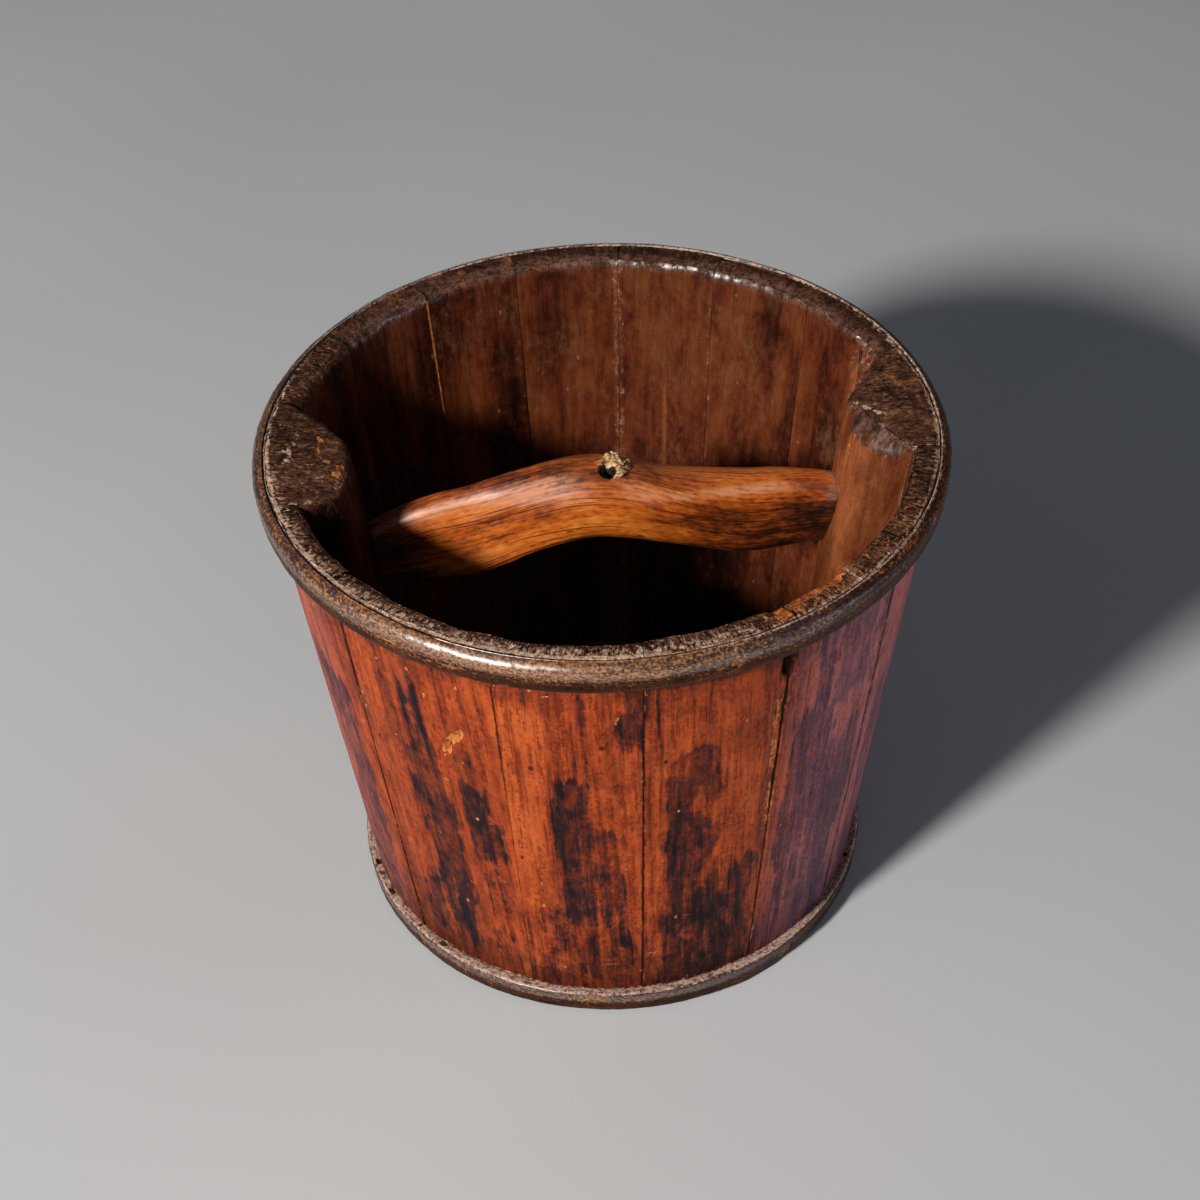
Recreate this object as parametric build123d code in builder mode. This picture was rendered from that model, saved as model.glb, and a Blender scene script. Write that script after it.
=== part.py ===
from build123d import *
import math
import os

os.makedirs("parts", exist_ok=True)

# Bucket body, in mm: origin at the centre of the foot, +Z up, +X along the handle
height = 252.0
rim_diameter = 300.0            # outside of the staves at the rim
foot_diameter = 236.0           # outside of the staves at the foot
stave_thickness = 12.0
rim_round = 4.0                 # worn inner edge of the rim

# Staves: widths at the rim, anticlockwise from above, shared out to close the ring
front_widths = (56.0, 81.0, 65.0, 67.0, 69.0, 67.0)
back_widths = (55.0, 57.0, 52.0, 54.0, 52.0, 56.0, 55.0)
handle_stave_width = 77.0

# Handle blocks, carved on the inside of the two handle staves
block_depth = 37.5              # outside of the stave to the face of the block
block_face_width = 26.0
block_length = 120.0            # rim to the start of the sloping lower end
block_slope_length = 34.0       # sloping lower end, back to the wall
block_margin = 1.5              # block edge to the stave joint
block_shoulder = 9.0            # depth over which the flanks turn from the face to the sides
block_root = 3.0                # how far the block runs into the stave's wall

# Handle: section heights and depths, and how far each section's middle lies below the rim
handle_setback = 6.0            # handle behind the middle of the bucket
grip_height = 37.0
grip_depth = 34.0
grip_drop = 42.0
arch_offset = 30.0              # middle of the grip to the side of its arch
arch_height = 38.0
arch_depth = 34.5
arch_drop = 46.5
shoulder_offset = 62.0          # middle of the grip to the fullest section
shoulder_height = 40.0
shoulder_depth = 35.0
shoulder_drop = 55.5
end_height = 34.0
end_depth = 30.0
end_drop = 61.0
handle_round = 13.0
tenon_height = 22.0
tenon_depth = 18.0
tenon_length = 20.0
tenon_root = 12.0               # how far the tenon runs back into the bar
tenon_clearance = 0.2
shoulder_clearance = 0.2

# Hoops
rim_hoop_height = 18.0
rim_hoop_thickness = 6.0
rim_hoop_round = 5.4
foot_hoop_height = 13.0
foot_hoop_thickness = 4.6
foot_hoop_lift = 1.0            # underside of the foot hoop above the floor
foot_hoop_round = 3.2
hoop_clearance = 0.1
scarf_slant = 22.0              # degrees, slanting glued joint that closes a hoop at the back
scarf_gap = 0.3

# Bottom boards, in the groove round the inside of the staves
board_count = 3
board_thickness = 11.0
board_clearance = 0.2
groove_height = 16.0            # underside of the groove above the foot
groove_depth = 4.0

# Bamboo dowels
dowel_diameter = 4.0
dowel_length = 24.0
dowel_clearance = 0.1
stave_dowel_lift = 72.0         # lower row of stave dowels above the foot
stave_dowel_drop = 58.0         # upper row of stave dowels below the rim
board_dowel_spacing = 90.0

# Places worked out from the sizes
wall_slope = (rim_diameter - foot_diameter) / 2 / height
groove_top = groove_height + board_thickness + 2 * board_clearance
groove_radius = foot_diameter / 2 + wall_slope * groove_height - stave_thickness + groove_depth
stave_dowel_rows = (stave_dowel_lift, height - stave_dowel_drop)
setback_angle = math.degrees(math.asin(handle_setback / (rim_diameter / 2)))
handle_stave_angle = math.degrees(handle_stave_width / (rim_diameter / 2))
right_start = setback_angle - handle_stave_angle / 2
right_end = setback_angle + handle_stave_angle / 2
left_start = 180 - right_end
left_end = 180 - right_start
end_level = height - end_drop


def outer_radius(z):
    return foot_diameter / 2 + wall_slope * z


def inner_radius(z):
    return outer_radius(z) - stave_thickness


def block_face(z):
    return outer_radius(z) - block_depth


def block_half(x):
    """Half the room for a block between the joints of a handle stave, at x from the bucket's axis."""
    return x * math.tan(math.radians(right_end)) - handle_setback - block_margin


def joint_angles(start, end, widths):
    """Angles of the stave joints from start to end, both included."""
    scale = (end - start) / sum(widths)
    return [start + scale * sum(widths[:count]) for count in range(len(widths) + 1)]


def radial_plane(angle):
    """Upright plane through the bucket's axis: x outwards, y up."""
    x = math.cos(math.radians(angle))
    y = math.sin(math.radians(angle))
    return Plane(origin=(0, 0, 0), x_dir=(x, y, 0), z_dir=(y, -x, 0))


def dowel_plane(angle, z):
    """Plane of a stave joint, centred on a dowel in the middle of the wall."""
    middle = (outer_radius(z) + inner_radius(z)) / 2
    joint = radial_plane(angle)
    return Plane(origin=joint.from_local_coords((middle, z, 0)), x_dir=joint.x_dir, z_dir=joint.z_dir)


def cut_dowel_holes(*angles):
    """Dowel holes at the stave joints, in the part being built."""
    with Locations([dowel_plane(angle, z) for angle in angles for z in stave_dowel_rows]):
        Cylinder(
            dowel_diameter / 2 + dowel_clearance,
            dowel_length + 2 * dowel_clearance,
            mode=Mode.SUBTRACT,
        )


def make_wall(start, end):
    """Length of the bucket's wall between two joints, with its rounded rim and board groove."""
    with BuildPart() as wall:
        with BuildSketch(radial_plane(start)) as profile:
            with BuildLine():
                Polyline(
                    (outer_radius(0), 0),
                    (outer_radius(height), height),
                    (inner_radius(height), height),
                    (inner_radius(groove_top), groove_top),
                    (groove_radius, groove_top),
                    (groove_radius, groove_height),
                    (inner_radius(groove_height), groove_height),
                    (inner_radius(0), 0),
                    close=True,
                )
            make_face()
            rim_edge = profile.vertices().group_by(Axis.Y)[-1].sort_by(Axis.X)[0]
            fillet(rim_edge, min(rim_round, 0.45 * stave_thickness))
        revolve(axis=Axis.Z, revolution_arc=end - start)
    return wall.part


def write(part, label):
    part.label = label
    export_step(part, f"parts/{label}.step")


# Plain staves, numbered anticlockwise from above: the front row starts at the left, the back row at the right
front_joints = joint_angles(left_end, 360 + right_start, front_widths)
back_joints = joint_angles(right_end, left_start, back_widths)
for row, joints in (("front", front_joints), ("back", back_joints)):
    for number, (start, end) in enumerate(zip(joints, joints[1:]), start=1):
        wall = make_wall(start, end)
        with BuildPart() as stave:
            add(wall)
            cut_dowel_holes(start, end)
        write(stave.part, f"stave_{row}_{number}")


# Handle staves: a thick block with rounded flanks, sloping back to the wall below, and a mortise
right_wall = make_wall(right_start, right_end)
slope_top = height - block_length
slope_foot = slope_top - block_slope_length
block_sections = (
    (height, block_face(height)),
    (slope_top, block_face(slope_top)),
    (slope_foot, inner_radius(slope_foot) + block_root / 2),
)
with BuildPart() as handle_stave_right:
    add(right_wall)
    for level, face in block_sections:
        back = inner_radius(level) + block_root
        turn = min(face + block_shoulder, (face + back) / 2)
        face_half = min(block_face_width / 2, block_half(face))
        with BuildSketch(Plane.XY.offset(level)):
            with BuildLine():
                outline = [
                    (face, handle_setback - face_half),
                    (face, handle_setback + face_half),
                    (turn, handle_setback + block_half(turn)),
                    (back, handle_setback + block_half(back)),
                    (back, handle_setback - block_half(back)),
                    (turn, handle_setback - block_half(turn)),
                ]
                Line(outline[0], outline[1])
                Bezier(outline[1], outline[2], outline[3])
                Line(outline[3], outline[4])
                Bezier(outline[4], outline[5], outline[0])
            make_face()
    loft(ruled=True)
    mortise_end = block_face(end_level) + tenon_length + tenon_clearance
    with BuildSketch(Plane.YZ.offset(mortise_end)):
        with Locations((handle_setback, end_level)):
            Rectangle(tenon_depth + 2 * tenon_clearance, tenon_height + 2 * tenon_clearance)
    extrude(amount=-(tenon_length + tenon_root), mode=Mode.SUBTRACT)
    cut_dowel_holes(right_start, right_end)
with BuildPart() as handle_stave_left:
    mirror(handle_stave_right.part, about=Plane.YZ)
write(handle_stave_right.part, "handle_stave_right")
write(handle_stave_left.part, "handle_stave_left")


# Handle: a bar lofted through rounded sections, cut to the lean of the blocks, with a tenon at each end
half_sections = (
    (arch_offset, arch_height, arch_depth, arch_drop),
    (shoulder_offset, shoulder_height, shoulder_depth, shoulder_drop),
    (block_face(height), end_height, end_depth, end_drop),
)
handle_sections = [(-x, *section) for x, *section in reversed(half_sections)]
handle_sections.append((0.0, grip_height, grip_depth, grip_drop))
handle_sections.extend(half_sections)
with BuildPart() as handle:
    for x, tall, deep, drop in handle_sections:
        centre = (x, handle_setback, height - drop)
        with BuildSketch(Plane(origin=centre, x_dir=(0, 1, 0), z_dir=(1, 0, 0))):
            RectangleRounded(deep, tall, min(handle_round, 0.45 * min(deep, tall)))
    loft()
    for side in (-1, 1):
        shoulder = (side * (block_face(end_level) - shoulder_clearance), handle_setback, end_level)
        lean = (side, 0, -wall_slope)
        split(bisect_by=Plane(origin=shoulder, x_dir=(0, 1, 0), z_dir=lean), keep=Keep.BOTTOM)
    for side in (-1, 1):
        tenon_middle = block_face(end_level) + (tenon_length - tenon_root) / 2
        with Locations((side * tenon_middle, handle_setback, end_level)):
            Box(tenon_length + tenon_root, tenon_depth, tenon_height)
write(handle.part, "handle")


# Hoops: closed at the back by a slanting joint
def make_hoop(low, tall, thickness, corner_round):
    """Hoop on the outside of the staves, with rounded outer corners."""
    top = low + tall
    inner_low = outer_radius(low) + hoop_clearance
    inner_top = outer_radius(top) + hoop_clearance
    middle = (inner_low + inner_top + thickness) / 2
    top_corner = math.pi / 2 - math.atan(wall_slope)
    most_round = 0.95 * min(thickness * math.tan(top_corner / 2), tall / 2)
    scarf_length = 2 * thickness / math.sin(math.radians(scarf_slant))
    with BuildPart() as hoop:
        with BuildSketch(radial_plane(0)) as profile:
            with BuildLine():
                Polyline(
                    (inner_low, low),
                    (inner_low + thickness, low),
                    (inner_top + thickness, top),
                    (inner_top, top),
                    close=True,
                )
            make_face()
            outer_corners = profile.vertices().sort_by(Axis.X)[-2:]
            fillet(outer_corners, min(corner_round, most_round))
        revolve(axis=Axis.Z)
        with BuildSketch(Plane.XY.offset(low)):
            with Locations((0, middle)):
                Rectangle(scarf_length, scarf_gap, rotation=scarf_slant)
        extrude(amount=tall, mode=Mode.SUBTRACT)
    return hoop.part


write(make_hoop(height - rim_hoop_height, rim_hoop_height, rim_hoop_thickness, rim_hoop_round), "rim_hoop")
write(make_hoop(foot_hoop_lift, foot_hoop_height, foot_hoop_thickness, foot_hoop_round), "foot_hoop")


# Bottom boards: a round bottom in planks along X, dowelled edge to edge
board_radius = groove_radius - board_clearance
board_level = groove_height + board_clearance
board_width = 2 * board_radius / board_count
board_seams = [-board_radius + board_width * count for count in range(1, board_count)]
board_dowel_places = [(side * board_dowel_spacing / 2, seam) for seam in board_seams for side in (-1, 1)]
board_middle = board_level + board_thickness / 2
for number in range(1, board_count + 1):
    with BuildPart() as board:
        with BuildSketch(Plane.XY.offset(board_level)):
            Circle(board_radius)
            with Locations((0, -board_radius + board_width * (number - 0.5))):
                Rectangle(2 * board_radius, board_width, mode=Mode.INTERSECT)
        extrude(amount=board_thickness)
        with Locations([Location((x, y, board_middle), (90, 0, 0)) for x, y in board_dowel_places]):
            Cylinder(
                dowel_diameter / 2 + dowel_clearance,
                dowel_length + 2 * dowel_clearance,
                mode=Mode.SUBTRACT,
            )
    write(board.part, f"bottom_board_{number}")


# Dowels: two across every stave joint, two across every seam of the bottom
with BuildPart() as stave_dowels:
    with Locations([dowel_plane(angle, z) for angle in front_joints + back_joints for z in stave_dowel_rows]):
        Cylinder(dowel_diameter / 2, dowel_length)
write(stave_dowels.part, "stave_dowels")

with BuildPart() as board_dowels:
    with Locations([Location((x, y, board_middle), (90, 0, 0)) for x, y in board_dowel_places]):
        Cylinder(dowel_diameter / 2, dowel_length)
write(board_dowels.part, "board_dowels")
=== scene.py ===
import math

import bpy
import numpy as np
from mathutils import Matrix


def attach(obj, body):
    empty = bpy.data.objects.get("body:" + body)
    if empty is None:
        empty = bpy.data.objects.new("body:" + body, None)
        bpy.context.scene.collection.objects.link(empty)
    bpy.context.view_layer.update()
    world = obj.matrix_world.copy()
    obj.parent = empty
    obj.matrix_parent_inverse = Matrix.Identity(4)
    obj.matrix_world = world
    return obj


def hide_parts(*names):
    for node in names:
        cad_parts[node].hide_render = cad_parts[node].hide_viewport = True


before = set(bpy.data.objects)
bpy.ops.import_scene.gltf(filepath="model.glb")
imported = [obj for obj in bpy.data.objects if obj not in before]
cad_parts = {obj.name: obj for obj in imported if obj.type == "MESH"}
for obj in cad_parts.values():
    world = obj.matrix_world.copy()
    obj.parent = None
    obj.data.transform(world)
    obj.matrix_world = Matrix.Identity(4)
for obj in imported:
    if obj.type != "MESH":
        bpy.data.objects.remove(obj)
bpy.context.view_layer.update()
print("frame loaded,", len(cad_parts), "nodes")

bucket = {
    "height": .252, "rim": .150, "foot": .118, "wall": .012,
    "frontWidths": (56, 81, 65, 67, 69, 67),       # left to right
    "backWidths": (55, 57, 52, 54, 52, 56, 55),    # right to left
    "handleStave": .077, "setback": .006,
}
slope = (bucket["rim"] - bucket["foot"]) / bucket["height"]


def outer(z):
    return bucket["foot"] + slope * z


def turnOf(theta):
    # degrees from the front, plus to the right
    return (np.degrees(theta) + 90 + 180) % 360 - 180


def ringPoint(theta, radius, *z):
    return np.stack([radius * np.cos(theta), radius * np.sin(theta), *z], -1)


def mmAlong(degrees, z):
    # round the outside of the wall at height z
    return np.abs(degrees) * math.pi / 180 * outer(z) * 1000


# sums on arrays of points

def ease(x, low, high):
    t = np.clip((x - low) / (high - low), 0, 1)
    return t * t * (3 - 2 * t)


def hump(x, low, high, soft):
    return ease(x, low - soft, low + soft) * (1 - ease(x, high - soft, high + soft))


def scatter(cells, seed):
    n = cells[..., 0] * 374761393 + cells[..., 1] * 668265263 + cells[..., 2] * 1440662683 + seed * 974634777
    n = (n ^ (n >> 13)) * 1274126177
    return ((n ^ (n >> 16)) & 0xFFFF) / 32767.5 - 1


def lumps(points, cell, seed, octaves=2):
    # smooth seeded bumps, about -1 to 1, one lump to a cell
    total, share = 0, 1
    for octave in range(octaves):
        q = points / np.asarray(cell) * 2 ** octave
        base = np.floor(q)
        f = q - base
        f = f * f * (3 - 2 * f)
        base = base.astype(np.int64)
        value = 0
        for corner in np.ndindex(2, 2, 2):
            weight = np.prod(np.where(np.array(corner) == 1, f, 1 - f), axis=-1)
            value = value + weight * scatter(base + np.array(corner), seed + octave)
        total = total + share * value
        share *= .5
    return total


def ticks(length, step, start, end):
    # even steps, with the closer ones in start and end at the two ends
    count = max(2, round((length - start[-1] - end[-1]) / step) + 1)
    middle = np.linspace(start[-1], length - end[-1], count)
    return np.concatenate([start[:-1], middle, length - np.array(end[::-1])[1:]])


def alongLine(at, far, line):
    return np.stack([np.interp(at, far, column) for column in line.T], -1)


def evenSteps(line, count, closed):
    far = np.concatenate([[0], np.cumsum(np.linalg.norm(np.diff(line, axis=0), axis=1))])
    return alongLine(np.linspace(0, far[-1], count, endpoint=not closed), far, line)


def throughPoints(points, count, closed=False, between=24):
    # smooth line through points, count even steps along it
    p = np.asarray(points, float)
    if closed:
        p = np.concatenate([p[-1:], p, p[:2]])
    else:
        p = np.concatenate([2 * p[:1] - p[1:2], p, 2 * p[-1:] - p[-2:-1]])
    line = []
    t = np.linspace(0, 1, between, endpoint=False)[:, None]
    for a, b, c, d in zip(p, p[1:], p[2:], p[3:]):
        bend, twist = 2 * a - 5 * b + 4 * c - d, 3 * b - a - 3 * c + d
        line.append(.5 * (2 * b + (c - a) * t + bend * t ** 2 + twist * t ** 3))
    return evenSteps(np.concatenate(line + [p[-2:-1]]), count, closed)


def roundOff(p, q, radius):
    # p and q are the distances from two faces that meet in an edge
    dp, dq = p - radius, q - radius
    near = (dp < 0) & (dq < 0)
    pull = np.where(near, np.minimum(1, radius / np.maximum(np.hypot(dp, dq), 1e-9)), 1)
    return np.where(near, radius + dp * pull, p), np.where(near, radius + dq * pull, q)


# meshes

def slab(us, vs, ws):
    # skin of a block of points: places, flags of the six sides, quads
    shape = (len(us), len(vs), len(ws))
    skin = np.ones(shape, bool)
    skin[1:-1, 1:-1, 1:-1] = False
    ids = np.full(shape, -1)
    ids[skin] = np.arange(skin.sum())
    iu, iv, iw = np.nonzero(skin)
    quads = []
    for axis in range(3):
        for end in (0, -1):
            side = np.take(ids, end, axis=axis)
            quad = np.stack([side[:-1, :-1], side[1:, :-1], side[1:, 1:], side[:-1, 1:]], -1).reshape(-1, 4)
            quads.append(quad[:, ::-1] if (end == 0) != (axis == 1) else quad)
    flags = {"outer": iv == 0, "inner": iv == shape[1] - 1, "low": iw == 0, "top": iw == shape[2] - 1}
    return us[iu], vs[iv], ws[iw], flags, np.concatenate(quads)


def tube(rings, count, closedRings):
    # quads of a grid of rings, each of count points joined round
    ids = np.arange(rings * count).reshape(rings, count)
    ahead = np.roll(ids, -1, axis=0) if closedRings else ids[1:]
    here = ids if closedRings else ids[:-1]
    quad = np.stack([here, np.roll(here, -1, 1), np.roll(ahead, -1, 1), ahead], -1)
    return quad.reshape(-1, 4)


def makePiece(name, points, faces, finish, slot, replaced=(), **fields):
    mesh = bpy.data.meshes.new(name)
    mesh.from_pydata(np.asarray(points).tolist(), [], [list(face) for face in faces])
    for key, values in fields.items():
        layer = mesh.attributes.new(key, "FLOAT_VECTOR", "POINT")
        layer.data.foreach_set("vector", np.ascontiguousarray(values, np.float32).ravel())
    mesh.materials.append(finish)
    mesh.shade_smooth()
    piece = bpy.data.objects.new(name, mesh)
    bpy.context.scene.collection.objects.link(piece)
    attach(piece, "root")
    if replaced:
        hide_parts(*replaced)


# finishes

class Val:
    # a socket that takes part in sums
    def __init__(self, finish, socket):
        self.finish, self.socket = finish, socket

    def sum(self, kind, *parts):
        return self.finish.node("Math", {"operation": kind}, dict(enumerate(parts)))

    def __add__(self, other):
        return self.sum("ADD", self, other)

    def __sub__(self, other):
        return self.sum("SUBTRACT", self, other)

    def __rsub__(self, other):
        return self.sum("SUBTRACT", other, self)

    def __mul__(self, other):
        return self.sum("MULTIPLY", self, other)

    __radd__ = __add__
    __rmul__ = __mul__


class Finish:
    # one material and the nodes in it
    def __init__(self, name, **fixed):
        self.material = bpy.data.materials.new(name)
        self.material.use_nodes = True
        self.tree = self.material.node_tree
        self.shader = self.tree.nodes["Principled BSDF"]
        for key, value in fixed.items():
            self.shader.inputs[key.replace("_", " ")].default_value = value

    def node(self, kind, settings=None, inputs=None, out=0):
        made = self.tree.nodes.new("ShaderNode" + kind)
        for key, value in (settings or {}).items():
            if key == "stops":
                ramp = made.color_ramp.elements
                while len(ramp) < len(value):
                    ramp.new(1)
                for stop, (place, colour) in zip(ramp, value):
                    stop.position, stop.color = place, (*colour, 1)
            else:
                setattr(made, key, value)
        for key, value in (inputs or {}).items():
            if isinstance(value, Val):
                self.tree.links.new(value.socket, made.inputs[key])
            else:
                made.inputs[key].default_value = value
        return Val(self, made.outputs[out])

    def field(self, name):
        return self.node("Attribute", {"attribute_name": name}, out="Vector")

    def split(self, vector):
        first = self.node("SeparateXYZ", {}, {0: vector})
        return [Val(self, socket) for socket in first.socket.node.outputs]

    def noise(self, at, stretch, detail=3, rough=.5, warp=0):
        # spread out to about 0 to 1, half of it on each side of .5
        placed = self.node("VectorMath", {"operation": "MULTIPLY"}, {0: at, 1: stretch})
        raw = self.node("TexNoise", {}, {"Vector": placed, "Scale": 1, "Detail": detail,
                                         "Roughness": rough, "Distortion": warp})
        return raw * 4 - 1.5

    def flecks(self, at, stretch, size, share):
        # scattered small marks, size in cells, on that share of the cells
        placed = self.node("VectorMath", {"operation": "MULTIPLY"}, {0: at, 1: stretch})
        ragged = self.node("TexNoise", {}, {"Vector": placed, "Scale": 4, "Detail": 2})
        cells = self.node("TexVoronoi", {}, {"Vector": placed, "Scale": 1})
        pick = self.split(Val(self, cells.socket.node.outputs["Color"]))[0]
        near = self.band(cells + (ragged - .5) * size * 1.6, size * 1.25, size * .8)
        return near * self.band(pick, 1 - share, 1 - share + .02)

    def band(self, value, low, high):
        return self.node("MapRange", {"interpolation_type": "SMOOTHSTEP"},
                         {"Value": value, "From Min": low, "From Max": high})

    def ramp(self, value, *stops):
        return self.node("ValToRGB", {"stops": stops}, {0: value})

    def mix(self, amount, first, second, blend="MIX"):
        first = first if isinstance(first, Val) else (*first, 1)
        second = second if isinstance(second, Val) else (*second, 1)
        settings = {"data_type": "RGBA", "blend_type": blend, "clamp_factor": True}
        return self.node("Mix", settings, {0: amount, 6: first, 7: second}, out=2)

    def darken(self, amount, colour, shade):
        return self.mix(amount, colour, shade, "MULTIPLY")

    def bump(self, height, distance):
        return self.node("Bump", {}, {"Height": height, "Distance": distance})

    def done(self, **feeds):
        for key, value in feeds.items():
            self.tree.links.new(value.socket, self.shader.inputs[key.replace("_", " ")])
        return self.material


staveColours = {
    "outside": ((.02, (.57, .116, .024)), (.20, (.46, .073, .015)), (.38, (.315, .047, .0115)),
                (.54, (.190, .032, .011)), (.70, (.112, .021, .013)), (.86, (.052, .012, .012)),
                (1, (.020, .007, .009))),
    "paintedSheenAndOlive": ((.2, (.70, .225, .225)), (.55, (.42, .146, .178)), (.9, (.215, .084, .122))),
    "chips": ((.2, (.40, .115, .035)), (.7, (.82, .36, .12))),
    "inside": ((.035, (.010, .003, .002)), (.224, (.042, .009, .004)), (.364, (.092, .0190, .0068)),
               (.504, (.140, .031, .0100)), (.665, (.175, .050, .0165)), (.95, (.33, .094, .033))),
    "endGrain": ((.12, (.012, .0048, .0034)), (.38, (.046, .0185, .0112)), (.58, (.112, .046, .024)),
                 (.78, (.23, .104, .052)), (.96, (.46, .25, .145))),
    "bare": ((.2, (.15, .036, .012)), (.5, (.42, .108, .028)), (.85, (.74, .25, .066))),
    "dust": ((.1, (.16, .082, .052)), (.5, (.59, .37, .255)), (.9, (.80, .575, .445))),
    "polish": ((.1, (.022, .008, .005)), (.8, (.19, .075, .045))),
    "facet": ((.25, (.024, .010, .006)), (.5, (.115, .055, .040)), (.8, (.36, .215, .175))),
}


def staveFinish():
    f = Finish("lacqueredStave", Specular_IOR_Level=.10, Coat_Roughness=.34, Coat_IOR=1.8)
    grain = f.field("grain")
    gap, below, drop = f.split(f.field("place"))       # metres from the joint, below the outside, below the rim
    outside, inside, endGrain = f.split(f.field("side"))
    stain, bare, dust = f.split(f.field("marks"))
    haze, facet, smooth = f.split(f.field("haze"))     # painted purple sheen outside and olive tint inside, broken facet, rim smoothed by hands
    broad = f.noise(grain, (40, 40, 8), 3, .5)
    streak = f.noise(grain, (300, 300, 13), 4, .62)
    hair = f.noise(grain, (560, 560, 30), 3, .6)
    blotch = f.noise(grain, (105, 105, 55), 5, .66, .6)
    mottle = f.noise(grain, (270, 270, 170), 5, .72)
    crumb = f.noise(grain, (560, 560, 480), 3, .65)
    worn = f.noise(grain, (36, 36, 22), 4, .6)
    dash = f.noise(grain, (400, 400, 64), 4, .68)

    # outside: lacquer over grain, with stains that end in ragged edges
    edge = stain + (blotch - .5) * .13 + (streak - .5) * .24 + (mottle - .5) * .13 + (crumb - .5) * .05
    covered = f.band(edge, .46, .72)
    varied = (broad - .5) * .09 + (streak - .5) * .14 + (mottle - .5) * .16 + (blotch - .5) * .18
    varied = varied + (hair - .5) * .09 + (dash - .5) * .21 + (worn - .5) * .17
    level = .35 - f.band(stain, .36, .10) * .20 + covered * .36 + varied * (1 + covered * .7)
    lacquer = f.ramp(level, *staveColours["outside"])
    # painted purple sheen: a painted reflection of blue light, mostly on the right-hand staves
    lacquer = f.mix(haze * (.72 + (blotch - .5) * .6), lacquer, f.ramp(level, *staveColours["paintedSheenAndOlive"]))
    fine = hair * .30 + dash * .34 + crumb * .22 + mottle * .14
    lacquer = f.darken(f.band(fine, .54, .22) * .86, lacquer, (.31, .22, .20))
    pale = f.band(level, .66, .30)
    lacquer = f.mix(f.band(fine, .60, .88) * .40 * pale, lacquer, (.62, .17, .042))
    lacquer = f.darken(f.band(streak * .5 + hair * .5, .70, .95) * .65, lacquer, (.32, .23, .22))
    grime = f.band(gap + (blotch - .5) * .006 + (mottle - .5) * .003, .0048, .0006)
    grime = grime * f.band(worn, .30, .75) * f.band(drop, .15, .03)
    lacquer = f.darken(grime * .75, lacquer, (.26, .28, .24))
    chips = f.flecks(grain, (165, 165, 110), .12, .12)
    cuts = f.flecks(grain, (58, 58, 430), .13, .05)
    marked = f.node("Math", {"operation": "MAXIMUM"}, {0: chips, 1: cuts})
    lacquer = f.mix(marked * .75, lacquer, f.ramp(crumb, *staveColours["chips"]))
    specks = f.flecks(grain, (95, 95, 65), .10, .18)
    lacquer = f.darken(specks * .9, lacquer, (.12, .09, .10))
    under = f.band(drop + (blotch - .5) * .010, .026, .0185)                # grime and painted shade below the rim hoop
    lacquer = f.darken(under * .6, lacquer, (.34, .30, .28))
    # darker towards the foot, with a painted blue cast
    lacquer = f.darken(f.band(drop + (blotch - .5) * .02, .186, .236) * .90, lacquer, (.30, .32, .50))

    # inside: dull brown with some dust in the grain; the stain field tints it there
    tone = broad * .42 + streak * .13 + blotch * .28 + mottle * .17 + (stain - .34)
    plain = f.ramp(tone * .7, *staveColours["inside"])
    plain = f.darken(f.band(hair * .6 + crumb * .4, .42, .08) * .45, plain, (.38, .32, .29))
    plain = f.mix(f.band(mottle * .6 + worn * .5, .72, 1.1) * .45, plain, (.13, .072, .034))
    plain = f.mix(haze * f.band(blotch * .4 + mottle * .4 + streak * .2, .20, .90), plain, (.125, .062, .017))
    plain = f.darken(f.band(streak * .5 + hair * .5, .74, .98) * .45, plain, (.34, .29, .28))
    plain = f.mix(chips * .5, plain, (.30, .17, .10))

    # sawn ends: short curled fibres
    fibre = f.noise(grain, (760, 190, 560), 3, .6, 1.2)
    fibre = .5 + (fibre - .5) * (1 - smooth * .62)
    patch = f.noise(grain, (70, 70, 70), 5, .65, .6)
    ends = f.ramp(fibre * .36 + crumb * .18 + mottle * .14 + patch * .28 + bare * .16, *staveColours["endGrain"])
    ends = f.mix(f.band(patch + (crumb - .5) * .3, .92, 1.15) * .6, ends, (.30, .115, .045))
    ends = f.mix(f.band(fibre * .8 + crumb * .2, .70, .94) * .60, ends, (.46, .235, .115))
    ends = f.darken(f.band(blotch, .40, .12) * .5, ends, (.40, .33, .32))
    ends = f.darken(f.band(fibre * .8 + crumb * .2, .40, .14) * .75, ends, (.24, .19, .18))

    colour = f.mix(outside, plain, lacquer)
    colour = f.mix(endGrain, colour, ends)
    wood = f.ramp(hair * .4 + crumb * .35 + streak * .25 + f.band(bare, .95, .6) * .2, *staveColours["bare"])
    colour = f.mix(f.band(bare + (crumb - .5) * .25 + (mottle - .5) * .2, .48, .60) * (1 - endGrain * .1), colour, wood)
    dirt = f.band(gap + (mottle - .5) * .0006, .0011, .0001)
    colour = f.darken(dirt * (.95 - inside * .75), colour, (.13, .09, .08))
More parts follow.
